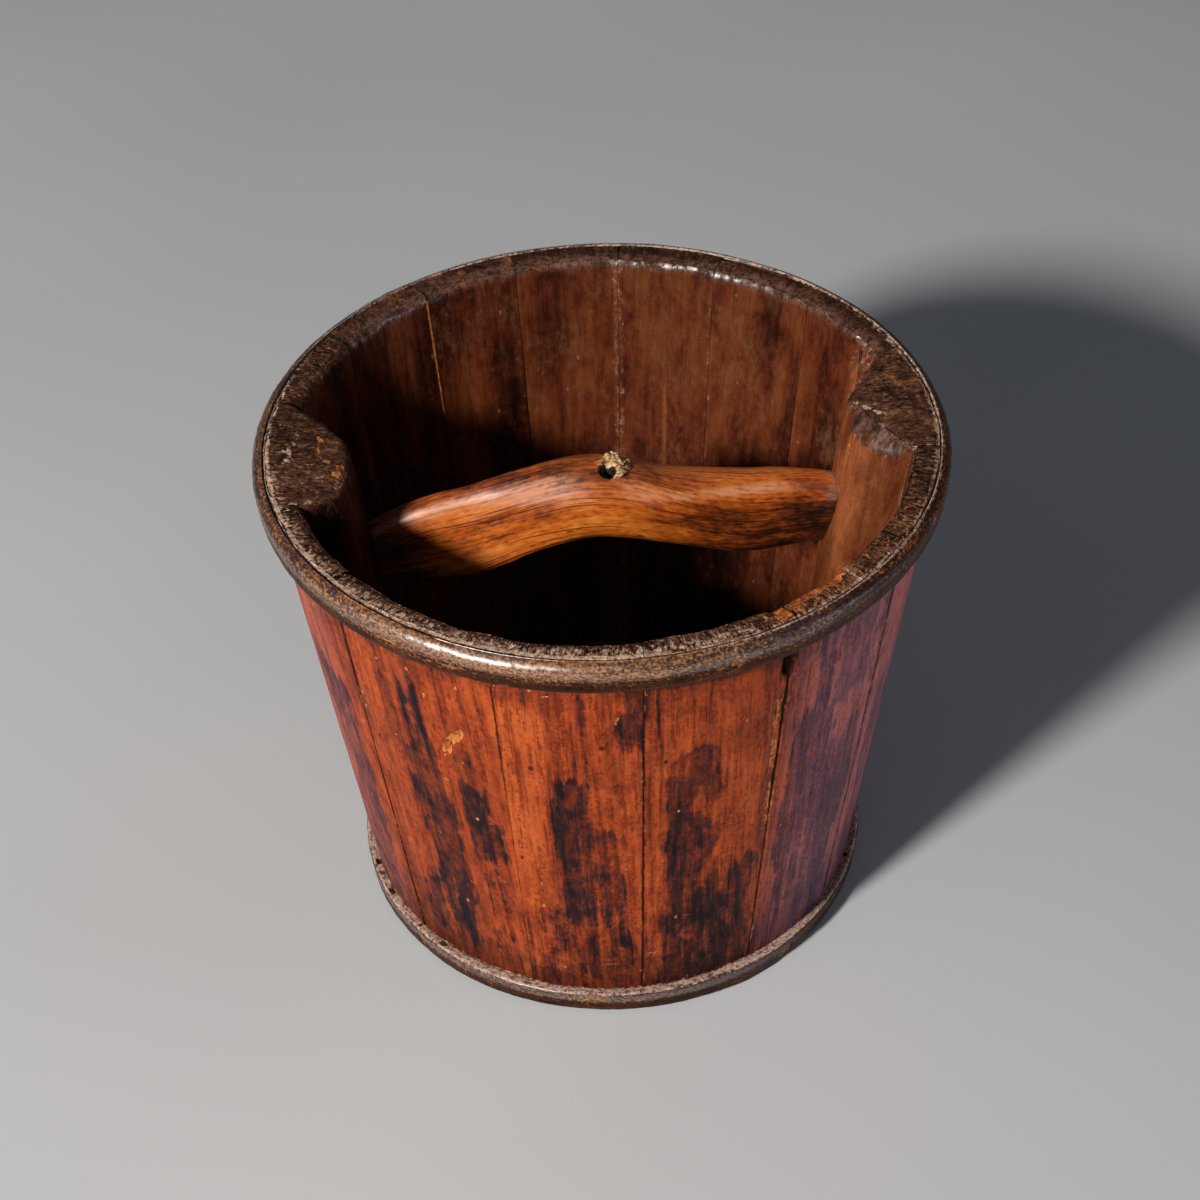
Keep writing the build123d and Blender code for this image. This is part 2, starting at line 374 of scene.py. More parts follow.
    # painted shade in the deeper cuts and the torn hole of the outside
    colour = f.darken(f.band(below, .0011, .0030) * outside, colour, (.10, .07, .06))
    crumbs = f.band(gap + (crumb - .5) * .0022, .0008, .0001) * f.band(worn + (mottle - .5) * .5, .72, 1.0) * outside
    dusty = f.band(dust + (crumb - .5) * .12 + (mottle - .5) * .18 + (fibre - .5) * endGrain * .22, .44, .74)
    colour = f.mix(dusty * (.9 - inside * .52), colour, f.ramp(crumb * .6 + mottle * .4, *staveColours["dust"]))
    colour = f.mix(crumbs * .7, colour, (.46, .19, .065))
    rough = .50 + (blotch - .5) * .12 + inside * .04 + dust * .2
    polish = f.band(drop, .0078, .0022) * f.band(below, .0042, .0075)
    polish = polish * (.35 + .65 * f.band(mottle + (blotch - .5) * .5, .30, .70)) * f.band(smooth, .62, .95)
    handled = f.ramp(mottle * .5 + crumb * .5, *staveColours["polish"])
    colour = f.mix(polish * .6 * (1 - dusty), colour, handled)
    broken = f.ramp(patch * .30 + blotch * .28 + mottle * .27 + crumb * .15, *staveColours["facet"])
    colour = f.mix(facet * .85, colour, broken)
    relief = streak * .35 + hair * .2 + blotch * .25 + mottle * .3
    curled = fibre * 1.2 + mottle * .9 + patch * .7
    relief = relief * (1 - endGrain) + endGrain * (1 - polish * .6) * curled - chips * outside * .8
    gloss = polish * (1 - dusty) * f.band(crumb * .5 + mottle * .5, .25, .55) + inside * .08
    return f.done(Base_Color=colour, Roughness=rough, Coat_Weight=gloss, Normal=f.bump(relief, .00018))


hoopColours = {
    "lacquer": ((.05, (.016, .0046, .0026)), (.36, (.040, .0115, .0050)), (.56, (.064, .0190, .0074)),
                (.76, (.098, .031, .0105)), (1, (.155, .056, .018))),
    "rubbedAndPaintedSheen": ((.15, (.070, .019, .0046)), (.5, (.225, .072, .0115)), (.9, (.48, .190, .042))),
    "chip": ((.2, (.12, .045, .02)), (.8, (.42, .20, .10))),
    "dust": ((.12, (.19, .110, .084)), (.5, (.50, .325, .255)), (.9, (.68, .48, .39))),
}


def hoopFinish():
    f = Finish("darkHoop", Specular_IOR_Level=.08, Coat_Roughness=.38, Coat_IOR=2.4)
    grain = f.field("grain")
    share, chip, dust = f.split(f.field("marks"))       # rubbed pale and painted sheen towards the upper shoulder
    shoulder, lit = f.split(f.field("haze"))[:2]
    pebble = f.noise(grain, (420, 620, 620), 3, .6)
    fine = f.noise(grain, (760, 960, 960), 2, .6)
    mottle = f.noise(grain, (50, 95, 95), 5, .62)
    along = f.noise(grain, (22, 300, 300), 4, .6)
    colour = f.ramp(mottle * .30 + along * .36 + pebble * .17 + fine * .17, *hoopColours["lacquer"])
    colour = f.darken(f.band(pebble * .4 + fine * .6, .46, .12) * .6, colour, (.40, .32, .28))
    # rubbed pale shoulder, partly a painted sheen on the front and left where the light falls
    rubbedAndPaintedSheen = f.band(fine * .40 + pebble * .2 + along * .25 + mottle * .15 + (share - .5) * .75, .38, .92)
    colour = f.mix(rubbedAndPaintedSheen * .85, colour, f.ramp(fine * .7 + along * .3, *hoopColours["rubbedAndPaintedSheen"]))
    # painted shade along the lower edge of the hoop
    colour = f.darken(f.band(shoulder, .26, .02) * .4, colour, (.50, .40, .36))
    flecks = f.flecks(grain, (150, 260, 260), .12, .08)
    colour = f.mix(flecks * .6, colour, (.36, .17, .06))
    chipped = f.band(chip + (pebble - .5) * .4, .50, .66)
    colour = f.mix(chipped * .8, colour, f.ramp(fine, *hoopColours["chip"]))
    dusty = f.band(dust + (pebble - .5) * .12 + (mottle - .5) * .18 + (fine - .5) * .08, .42, .68)
    colour = f.mix(dusty * .92, colour, f.ramp(pebble * .5 + fine * .5, *hoopColours["dust"]))
    rough = .42 + (mottle - .5) * .08 + (pebble - .5) * .06 + dusty * .3
    relief = pebble * .5 + mottle * .4 + fine * .3 + along * .15 - flecks * .4
    shine = f.band(shoulder, .50, 1.0) * (1 - dusty) * lit
    shine = shine * (.55 + .45 * f.band(fine * .6 + pebble * .4, .25, .60))
    return f.done(Base_Color=colour, Roughness=rough, Coat_Weight=shine, Normal=f.bump(relief, .00014))


handleColours = {
    "wood": ((.0, (.012, .004, .002)), (.20, (.085, .018, .0045)), (.38, (.26, .050, .0070)), (.54, (.49, .098, .0085)),
             (.72, (.66, .165, .015)), (.95, (.78, .27, .045))),
    "raw": ((.2, (.20, .085, .030)), (.5, (.55, .32, .13)), (.8, (.74, .52, .28))),
    "worn": (.23, .145, .105), "rubbedAndPaintedSheen": (.66, .30, .175),
}


def handleFinish():
    f = Finish("handleWood", Specular_IOR_Level=.30, Coat_Roughness=.41, Coat_Weight=.58, Coat_IOR=1.7)
    grain = f.field("grain")
    worn, raw, shade = f.split(f.field("marks"))
    rubbedAndPaintedSheen = f.split(f.field("haze"))[0]               # painted highlight: paler where the ridge and the right top face the light and the camera
    swirl = f.noise(grain, (13, 70, 70), 4, .6, .5)
    lines = f.noise(grain, (8, 640, 640), 2, .5, .1)
    hair = f.noise(grain, (14, 900, 900), 2, .5)
    blotch = f.noise(grain, (60, 130, 130), 5, .66)
    pore = f.noise(grain, (260, 640, 640), 2, .5)
    # shade darkens the wood: painted shade and shadow, and painted light where it is below zero
    tone = swirl * .24 + blotch * .24 + hair * .10 + pore * .15 + lines * .06 + .18 - shade * .38
    colour = f.ramp(tone, *handleColours["wood"])
    colour = f.darken(f.band(lines + (blotch - .5) * .25, 1.0, 1.12) * .9, colour, (.20, .11, .08))
    colour = f.darken(f.band(lines * .3 + hair * .4 + pore * .3, .34, .10) * .36, colour, (.38, .25, .19))
    dull = f.band(worn + (blotch - .5) * .3 + (hair - .5) * .2, .5, 1.0)
    colour = f.mix(dull * .7, colour, handleColours["worn"])
    broken = f.band(raw + (hair - .5) * .3 + (pore - .5) * .3, .45, .62)
    colour = f.mix(broken, colour, f.ramp(hair * .6 + pore * .4, *handleColours["raw"]))
    rubbedAndPaintedSheen = rubbedAndPaintedSheen * (.22 + .50 * f.band(hair * .4 + pore * .3 + blotch * .3, .30, .72))
    colour = f.mix(rubbedAndPaintedSheen, colour, handleColours["rubbedAndPaintedSheen"])
    dark = f.flecks(grain, (60, 260, 260), .10, .16)
    dash = f.flecks(grain, (95, 480, 480), .13, .28)
    colour = f.darken(dark * .9, colour, (.16, .09, .07))
    colour = f.darken(dash * .75, colour, (.22, .13, .10))
    rough = .42 + (blotch - .5) * .07 + (hair - .5) * .05 + worn * .2 + raw * .3
    relief = lines * .35 + hair * .3 + pore * .2 + blotch * .2 - dark * .3
    return f.done(Base_Color=colour, Roughness=rough, Normal=f.bump(relief, .00011))


def boardFinish():
    f = Finish("bottomBoard", Specular_IOR_Level=.3)
    grain = f.field("grain")
    streak = f.noise(grain, (9, 420, 420), 4, .6)
    broad = f.noise(grain, (8, 60, 60), 3, .5)
    mottle = f.noise(grain, (160, 260, 260), 5, .7)
    hair = f.noise(grain, (40, 1400, 1400), 3, .6)
    colour = f.ramp(broad * .35 + streak * .4 + mottle * .25,
                    (.1, (.022, .009, .005)), (.5, (.085, .036, .017)), (.9, (.20, .10, .05)))
    colour = f.darken(f.band(hair, .45, .1) * .6, colour, (.4, .34, .3))
    colour = f.mix(f.band(mottle, .66, .95) * .4, colour, (.22, .15, .10))
    rough = .62 + (mottle - .5) * .12
    return f.done(Base_Color=colour, Roughness=rough, Normal=f.bump(streak * .6 + mottle * .3 + hair * .2, .0002))


def dowelFinish():
    f = Finish("splitBamboo", Specular_IOR_Level=.4)
    at = f.node("TexCoord", out="Object")
    fibre = f.noise(at, (900, 900, 60), 3, .6)
    colour = f.ramp(fibre, (.1, (.42, .29, .14)), (.6, (.60, .46, .25)), (.9, (.70, .57, .36)))
    return f.done(Base_Color=colour, Roughness=.45 + fibre * .1, Normal=f.bump(fibre, .0002))


def dustFinish():
    f = Finish("jointDust", Specular_IOR_Level=.2)
    at = f.node("TexCoord", out="Object")
    crumb = f.noise(at, (900, 900, 900), 4, .7)
    mottle = f.noise(at, (190, 190, 190), 4, .6)
    colour = f.ramp(crumb * .6 + mottle * .4, (.12, (.05, .028, .018)), (.32, (.28, .180, .125)),
                    (.58, (.66, .46, .34)), (.9, (.86, .66, .52)))
    return f.done(Base_Color=colour, Roughness=.75 + (crumb - .5) * .1, Normal=f.bump(crumb, .0004))


stavesMade = staveFinish()
hoopsMade = hoopFinish()
handleMade = handleFinish()
boardsMade = boardFinish()
dowelsMade = dowelFinish()
dustMade = dustFinish()
print("finishes made")


# stains on the outside: degrees from the front, heights in mm, level (low is bright orange, high is dark)
stains = (
    (-72, -61, 27, 182, .86), (-44.5, -39, 159, 212, .62), (-45, -37.2, 47, 166, .88), (-35.4, -29.4, 126, 159, .80),
    (-34, -26.4, 100, 133, .78), (-33.6, -28.8, 73, 100, .56), (-32.4, -28.2, 42, 55, .80), (-49.8, -37.2, 27, 73, .72),
    (-15.8, -9.4, 12, 168, .88), (-16.4, -3.6, 47, 141, .78), (-25, -2.4, 12, 73, .60), (-12.6, -10.2, 199, 225, .74),
    (-4.6, 0, 192, 236, .84), (3.4, 14.6, 149, 183, .92), (3.6, 8.4, 93, 149, .88), (6, 14.4, 12, 131, .90),
    (3.6, 24, 12, 103, .76), (16.8, 22.8, 144, 160, .86), (28.8, 38.4, 47, 179, .78), (31.2, 36, 179, 232, .70),
    (37.8, 48, 175, 236, .84), (37, 48, 12, 149, .84), (56, 70, 20, 150, .74), (84, 101, 60, 215, .66),
    (112, 125, 15, 140, .80),
    (131, 140, 90, 236, .72), (149, 166, 15, 120, .82), (170, 178, 100, 200, .74), (-172, -160, 15, 165, .84),
    (-150, -139, 70, 236, .70), (-130, -112, 15, 130, .82), (-101, -90, 100, 225, .76), (-88, -80, 15, 90, .72),
    (-26.6, -17.4, 75, 222, .10), (-57, -50, 90, 215, .24), (14.8, 24.6, 100, 232, .30), (50, 55, 60, 200, .18),
    (-3, 3, 60, 195, .24), (140, 149, 40, 220, .15), (-112, -103, 60, 220, .15), (102, 110, 30, 200, .18),
)


def stainField(turn, z, seeded):
    # run out in fingers along the grain
    tall = z * 1000 + 6 * lumps(seeded, (.003, 1, .3), 101) + 9 * lumps(seeded, (.012, 1, .03), 103)
    turn = turn + 1.5 * lumps(seeded, (.022, 1, .022), 102) + .7 * lumps(seeded, (.006, 1, .010), 104)
    level = np.full(turn.shape, .34)
    for left, right, low, high, aim in stains:
        share = hump(turn, left, right, 1.1) * hump(tall, low, high, 6)
        level += (aim - level) * share
    return level + .07 * lumps(seeded, (.005, 1, .05), 105)


# wounds on the outside: degrees, height, half width and half length in mm, tilt in degrees, depth in mm
gouges = (
    (-35.2, 180, 3.4, 14, 33, 1.5), (-37.5, 168, 1.2, 8, 30, .6), (-25.0, 229, 2.4, 3.4, 0, 1.4),
    (-16, 226, 1.6, 4, 80, .4),
    (-4.2, 212, 2.2, 3.6, 20, .7), (4.4, 214, 1.2, 4.2, 10, .5), (8.6, 218, 1.0, 2.2, 0, .6), (6.4, 131, 1.0, 4, 0, .5),
    (26.6, 60, .9, 5, 35, .5), (-54.5, 52, 1.6, 5, 20, .5), (-50, 196, 1.4, 6, 5, .6), (-3.2, 45, 1.1, 4, 0, .6),
    (95, 150, 2.6, 9, -15, .8), (160, 190, 2.0, 8, 12, .7), (-120, 170, 2.2, 11, -8, .8), (-165, 80, 1.6, 7, 20, .6),
)


def woundField(turn, z, reach):
    depth, bare = np.zeros(turn.shape), np.zeros(turn.shape)
    for at, high, wide, tall, tilt, deep in gouges:
        x = np.radians(turn - at) * outer(z) * 1000
        y = z * 1000 - high
        c, s = math.cos(math.radians(tilt)), math.sin(math.radians(tilt))
        u, v = c * x - s * y, s * x + c * y
        cut = np.clip(1 - (u / wide) ** 2 - (v / tall) ** 2 + .5 * reach, 0, 1)
        depth = np.maximum(depth, deep * .001 * np.sqrt(cut))
        broken = .76 + .62 * lumps(np.stack([u, v * .22, u * 0], -1), 1.5, 56)
        bare = np.maximum(bare, ease(cut, 0, .6) * (1 if deep > 1 else .7) * broken)
    return depth, bare


# the joint that is torn open below the rim hoop, in metres from it
splinter = {
    "turn": 25.5, "low": .128, "high": .234, "wide": .0008, "deep": .0007,
    "hole": {"low": .217, "high": .231, "deep": .0036, "at": -.0008, "half": .0034},
    # splintered strip, bare edge, lower strip: left, right, lowest, highest, depth, how bare
    "strips": ((-.0050, .0002, .150, .217, .0010, .74), (.0004, .0030, .200, .234, .0006, .95),
               (-.0030, .0012, .118, .156, .0008, .80)),
}


def splinterField(turn, z, ragged, lines):
    along = np.radians(turn - splinter["turn"]) * outer(z)
    gape = hump(z, splinter["low"], splinter["high"], .012) * (.55 + .6 * ragged)
    cut = np.clip(1 - np.abs(along) / (splinter["wide"] * np.clip(gape, .02, 1.4)), 0, 1) * np.clip(gape, 0, 1)
    hole = splinter["hole"]
    inHole = hump(z, hole["low"], hole["high"], .003) * np.clip(1 - np.abs(along - hole["at"]) / hole["half"], 0, 1)
    depth, bare = splinter["deep"] * np.sqrt(cut) + hole["deep"] * np.sqrt(inHole), ease(cut, .02, .3) * .5
    for left, right, low, high, deep, show in splinter["strips"]:
        share = hump(along + .0005 * ragged, left, right, .0005) * hump(z + .010 * lines, low, high, .008)
        share = share * np.clip(.80 + .75 * lumps(np.stack([along * .4, z, z * 0], -1), .009, 57), .25, 1)
        depth = depth + deep * share * (.5 + .7 * lines)
        bare = np.maximum(bare, share * (show + .45 * lines))
    return depth, bare * (1 - ease(inHole, .1, .5))


# inside: joints that hold dust, joints that are paler beside it (degrees anticlockwise from the right,
# half width in mm, level), a pale crack and reddish lines (degrees, heights in mm)
innerJoints = ((79.85, 4.6, .49), (59.92, 2.6, .40), (-12.4, .7, .85), (-38.1, .6, .50))
paleJoints = ((79.85, 3.4, .26), (59.92, 2.0, .14))
paleCrack = {"at": 120.47, "fade": (.178, .192)}
redLines = ((69.5, 60, 185), (90.5, 60, 185))


def dustyJoints(theta, z):
    level = np.zeros(theta.shape)
    for at, wide, aim in innerJoints:
        away = mmAlong((np.degrees(theta) - at + 180) % 360 - 180, z)
        level = np.maximum(level, aim * (1 - ease(away, .3 * wide, 1.6 * wide)))
    return level


def insideTint(turn, z, isBlock):
    tint = .34 + .10 * hump(turn, 128, 172, 8) * ease(z, .12, .2)
    for at, low, high in redLines:
        tint = tint + .5 * (1 - ease(mmAlong(turn - (at + 90), z), .4, 1.6)) * hump(z * 1000, low, high, 8)
    for at, wide, more in paleJoints:
        tint = tint + more * (1 - ease(mmAlong(turn - (at + 90), z), .2 * wide, wide))
    # painted light on the right block's inner flank, painted shade on the left block's
    paintedLightAndShade = .46 * hump(turn, 60, 125, 8) - .24 * hump(turn, -125, -60, 8)
    return tint + (paintedLightAndShade * ease(z, .05, .2) if isBlock else 0)


# how thin the dirt is in some joints: degrees anticlockwise from the right, outside at the rim and at the foot, on top
jointDirt = (
    (213.9, .9, 4, 1), (244.9, 1, 3, 1), (321.9, .45, .45, 1), (17.0, 1, 1, 2), (38.1, 1, 1, 4), (59.9, 1, 1, 5),
    (100.5, 1, 1, 5), (120.5, 1, 1, 3), (141.9, 1, 1, 3),
)


def thinDirt(theta, drop, ends):
    thin = np.ones(drop.shape)
    for at, rim, foot, top in jointDirt:
        if abs(math.degrees(theta) % 360 - at) < 1:
            thin = (rim + (foot - rim) * ease(drop, .05, .13)) * (1 - ends) + top * ends
    return thin


# staves

staveLook = {
    "rimRound": .0066, "topRound": .0012, "edgeRound": .0007, "innerEdge": .4, "footRound": .0008,
    "step": (.0010, .0017), "backStep": (.0012, .0024), "blockStep": (.0009, .0016),
    "crisp": (2, 74, .58),         # degrees where the rim is less rounded, and by how much
    "chip": (22.6, 38, .0021),     # degrees where the inner edge is chipped, and how deep
    "proud": .00025, "lower": .0006, "tone": .035,     # most that staves differ by
}


def makeStave(node, start, end, seed, step, inner=None, thick=bucket["wall"], tears=(), topMarks=(), scar=None):
    rng = np.random.default_rng(seed)
    high, wall, span, isBlock = bucket["height"], bucket["wall"], end - start, inner is not None
    close = [0, .0003, .0007, .0013, .0022]
    us = ticks(span * bucket["rim"], step[0], close, close) / (span * bucket["rim"])
    vs = ticks(thick, .0011, [0, .0004, .0009, .0016], [0, .0007, .0015, .0024, .0034, .0046]) / thick
    ws = ticks(high, step[1], [0, .0004, .001, .002], [0, .0005, .0011, .0018, .0027, .0037, .0049, .0064, .0082])
    u, v, w, flags, quads = slab(us, vs, ws)

    def innerPoint(u, z):
        return inner(u, z) if isBlock else ringPoint(start + u * span, outer(z) - wall)

    def outerPoint(u, z):
        return ringPoint(start + u * span, outer(z))

    def depthAt(u, z):
        return np.linalg.norm(outerPoint(u, z) - innerPoint(u, z), axis=-1)

    def bumps(cell, number):
        return lumps(seeded, cell, number)

    wide, deep = span * outer(w), depthAt(u, w)
    a, b, c = u * wide, v * deep, w.copy()
    raw = np.stack([a, b, c], -1)
    seeded = raw + rng.uniform(-50, 50, 3) * np.array([1, 1, 0])

    # edges worn round, more at the rim's inner edge
    middle = turnOf(np.array((start + end) / 2))
    atBack = 1 - hump(middle, -100, 100, 25)
    wear = 1 + .20 * bumps((.012, 1, 1), 11) + .05 * bumps((.0046, 1, 1), 12) + .22 * atBack * bumps((.011, 1, 1), 13)
    left, right, less = staveLook["crisp"]
    crisp = 1 - less * hump(turnOf(start + u * span), left, right, 8)
    t, top = roundOff(deep - b, high - c, staveLook["rimRound"] * wear * crisp)
    c, b = high - top, deep - t
    b, top = roundOff(b, high - c, staveLook["topRound"] * wear * (1 + .8 * hump(middle, 30, 150, 20)))
    c = high - top
    a, b = roundOff(a, b, staveLook["edgeRound"] / np.clip(thinDirt(start, high - c, 0), 1, 4))
    side, b = roundOff(wide - a, b, staveLook["edgeRound"] / np.clip(thinDirt(end, high - c, 0), 1, 4))
    a, t = roundOff(wide - side, deep - b, staveLook["edgeRound"] * staveLook["innerEdge"])
    side, t = roundOff(wide - a, t, staveLook["edgeRound"] * staveLook["innerEdge"])
    a, b = wide - side, deep - t
    b, c = roundOff(b, c, staveLook["footRound"])

    # relief: planed faces, grain, torn places, rough rim
    theta = start + a / wide * span
    turn = turnOf(theta)
    ragged = bumps((.004, 1, .010), 21)
    cut, bare = woundField(turn, c, ragged)
    torn, tornBare = splinterField(turn, c, ragged, bumps((.0009, 1, .07), 22))
    rip = np.zeros(u.shape)
    for place, half, low, to, cutIn in tears:
        sway = .014 * lumps(np.stack([u * 0, c, c * 0], -1), .012, 33) + .022 * ragged
        across = np.clip(1.2 - np.abs(u - place - sway) / half, 0, 1)
        rip = np.maximum(rip, cutIn * .001 * hump(c, low, to, .008) * across)
    planed = .00022 * bumps((.014, 1, .11), 31) + .00013 * bumps((.0028, 1, .05), 41)
    proud = rng.uniform(-staveLook["proud"], staveLook["proud"])
    b = b + flags["outer"] * (cut + torn - (planed + proud) * ease(c, 0, .012))
    dressed = .0004 * bumps((.016, 1, .09), 51) + .00025 * bumps((.0035, 1, .035), 61)
    b = b + flags["inner"] * (dressed - .0004 - rip * (1 + .5 * bumps((.0022, 1, .012), 34)))
    scarred = np.zeros(u.shape)
    if scar:
        left, right, low, to = scar
        scarred = hump(u + .05 * ragged, left, right, .04) * ease(c, low, to)
        pitted = .0012 + .0016 * bumps((.0030, 1, .012), 36) + .0006 * bumps((.0013, 1, .004), 37)
        b = b - flags["inner"] * scarred * pitted
    sawn = .0006 * bumps((.0022, .005, 1), 71) + .0007 * bumps((.009, .009, 1), 81)
    sawn = sawn * (1 - .8 * ease(b - deep, -.006, -.0025))
    left, right, most = staveLook["chip"]
    chipped = most * hump(turn, left, right, .8) * ease(b, .0055, .009) * (.8 + .3 * ragged)
    meet = .25 + .75 * ease(np.minimum(a, wide - a), 0, .003)     # tops level where staves meet
    lowered = (np.abs(sawn) + rng.uniform(0, staveLook["lower"])) * meet + .0004
    c = c - flags["top"] * lowered - (c > .2) * (chipped * ease(c, .242, .249))
    b = np.clip(b, -.0006, None)
    share = (b / depthAt(a / wide, c))[:, None]
    flat = outerPoint(a / wide, c) * (1 - share) + innerPoint(a / wide, c) * share
    points = np.concatenate([flat, c[:, None]], -1)

    # where it is end grain, dusty and bare
    fromTop = high - raw[:, 2]
    ends = np.maximum(flags["top"] | flags["low"], flags["inner"] * (1 - ease(fromTop, .002, .0065))).astype(float)
    ends = np.maximum(ends, flags["outer"] * (1 - ease(fromTop, .0006, .0012)))
    rimTop = ends * (c > .24)
    besideHoop = .30 + .32 * hump(turn, -118, 118, 12) + .25 * hump(turn, -75, -8, 8)
    acrossTop = .50 * hump(turn, -95, -50, 8) + .57 * hump(turn, -50, 24, 10)
    slant = np.abs(turn - 39.4 - 60 * (b - .005)) * .0026 * 1000
    crack = mmAlong(np.degrees(theta) - paleCrack["at"], c)
    dusty = [
        ends * ease(raw[:, 2], .2, .25) * (1 - ease(raw[:, 1], .0012, .0034)) * besideHoop,     # along the rim hoop
        flags["outer"] * (1 - ease(raw[:, 2], .0135, .0185)) * .55,     # just above the foot hoop
        rimTop * acrossTop * (1 - .28 * ease(b, .004, .009)),     # over the front tops
        rimTop * .95 * hump(b, .0006, .0027, .0006) * hump(turn, -100, 6, 8),     # a pale line in front
        rimTop * .85 * (1 - ease(slant, .5, 1.3)),     # a slanting line on the right
        flags["inner"] * scarred * .50,
        flags["inner"] * dustyJoints(theta, c),
    ]
    bared = [
        np.maximum(bare, tornBare) * flags["outer"],     # gouges and the torn joint
        ends * (chipped > .0008),     # the chip
        ends * (.36 * hump(turn, -72, 18, 6) + .40 * hump(turn, 18, 64, 6) + .27 * isBlock),
        flags["inner"] * ease(rip, .0002, .0016) * .42,     # tears in the blocks
        flags["inner"] * (1 - ease(crack, .3, .9)) * .9 * ease(c, *paleCrack["fade"]),
    ]
    kinds = {"bare": (bared, .70 if isBlock else 1), "dust": (dusty, .70 if isBlock else .9)}
    for kind, half, spots in topMarks:
        line = np.array(spots) / 1000
        line = throughPoints(line, 40) if len(spots) > 1 else line
        far = np.min(np.linalg.norm(points[:, None, :2] - line[None], axis=-1), axis=1) * 1000
        near = 1 - ease(far + 1.2 * bumps(.0026, 35) + .7 * bumps(.0011, 45), .3 * half, half)
        found, most = kinds[kind]
        found.append(rimTop * near * (.9 + .25 * bumps(.0036, 38)) * most)

    # tints
    tone = rng.uniform(-staveLook["tone"], staveLook["tone"])
    innerTint = insideTint(turn, c, isBlock) + tone
    innerTint += .36 * scarred * (1 + 1.3 * bumps((.0024, 1, .012), 39))
    innerTint += .35 * ease(rip, .0003, .0014) * (1 + 1.2 * bumps((.0016, 1, .012), 40))
    # painted purple sheen on the outside, a painted reflection of blue light on the right-hand staves and a little on
    # the left; inside, the same field holds an olive tint
    paintedSheenAndOlive = ease(turn, 21, 39) * (1 - .80 * ease(turn, 60, 96)) * (1 - ease(turn, 110, 150))
    paintedSheenAndOlive = paintedSheenAndOlive + .3 * hump(turn, -110, -62, 5)
    olive = hump(turn, 132, 172, 8) * ease(c, .17, .235) * (.22 + .22 * bumps((.022, 1, .04), 42))
    paintedSheenAndOlive = np.where(flags["inner"], olive * (not isBlock), paintedSheenAndOlive)
    facet, smooth = np.zeros(u.shape), 1 - .75 * hump(middle, -130, 80, 12)
    if isBlock:
        smooth = .6
        innerTint += .20 * bumps((.009, 1, .030), 44) + .10 * bumps((.003, 1, .020), 46)
        face = flags["inner"] * ease(c + .0010 * bumps((.009, 1, 1), 43), .2424, .2434)
        lip = flags["top"] * ease(b - deep, -.0022, -.0008)
        facet = np.maximum(face, lip) * hump(u, .05, .44, .03) * (middle > 0)
    stain = np.where(flags["inner"], innerTint, stainField(turn, c, seeded) + tone)
    gap = np.minimum(a * thinDirt(start, high - c, ends), (wide - a) * thinDirt(end, high - c, ends))
    makePiece(
        node + "_worn", points, quads, stavesMade, "lacquered_staves", [node],
        grain=seeded * (np.array([1, .9, 1]) if isBlock else 1), place=np.stack([gap, b, high - c], -1),
        side=np.stack([flags["outer"] * (1 - ends), flags["inner"] * (1 - ends), ends], -1),
        marks=np.stack([stain, np.maximum.reduce(bared), np.maximum.reduce(dusty)], -1),
        haze=np.stack([paintedSheenAndOlive, facet, np.full(u.shape, smooth)], -1))


def shares(start, end, widths):
    return np.radians(start + (end - start) * np.concatenate([[0], np.cumsum(widths)]) / sum(widths))


setback = math.degrees(math.asin(bucket["setback"] / bucket["rim"]))
halfStave = math.degrees(bucket["handleStave"] / bucket["rim"]) / 2
rightStave = (setback - halfStave, setback + halfStave)
leftStave = (180 - rightStave[1], 180 - rightStave[0])
rows = (
    ("stave_front_", shares(leftStave[1], 360 + rightStave[0], bucket["frontWidths"]), staveLook["step"]),
    ("stave_back_", shares(rightStave[1], leftStave[0], bucket["backWidths"]), staveLook["backStep"]),
)
# marks on the rim's top: kind, half width, places, in mm
rimMarks = {
    "stave_front_4": (("bare", 5.6, ((57.6, -130.8), (61.4, -129.2))),),
    "stave_front_5": (("bare", 5.4, ((60.6, -128.6), (65.5, -126.0))),
                      ("bare", 2.6, ((71.8, -119.6), (78, -115.7), (84, -111.4), (89, -107.5))),
                      ("dust", 1.0, ((56, -125.9), (66.8, -120.5))), ("dust", 1.2, ((88, -104), (90.7, -107.6)))),
}
# torn patches inside: from and to as shares of the width, heights where they fade in
scars = {"stave_back_1": (-.2, .34, .165, .215)}
for rowNumber, (rowName, joints, step) in enumerate(rows):
    for number, (start, end) in enumerate(zip(joints, joints[1:]), start=1):
        node = rowName + str(number)
        makeStave(node, start, end, 100 * rowNumber + number, step,
                  topMarks=rimMarks.get(node, ()), scar=scars.get(node))
print("plain staves made")

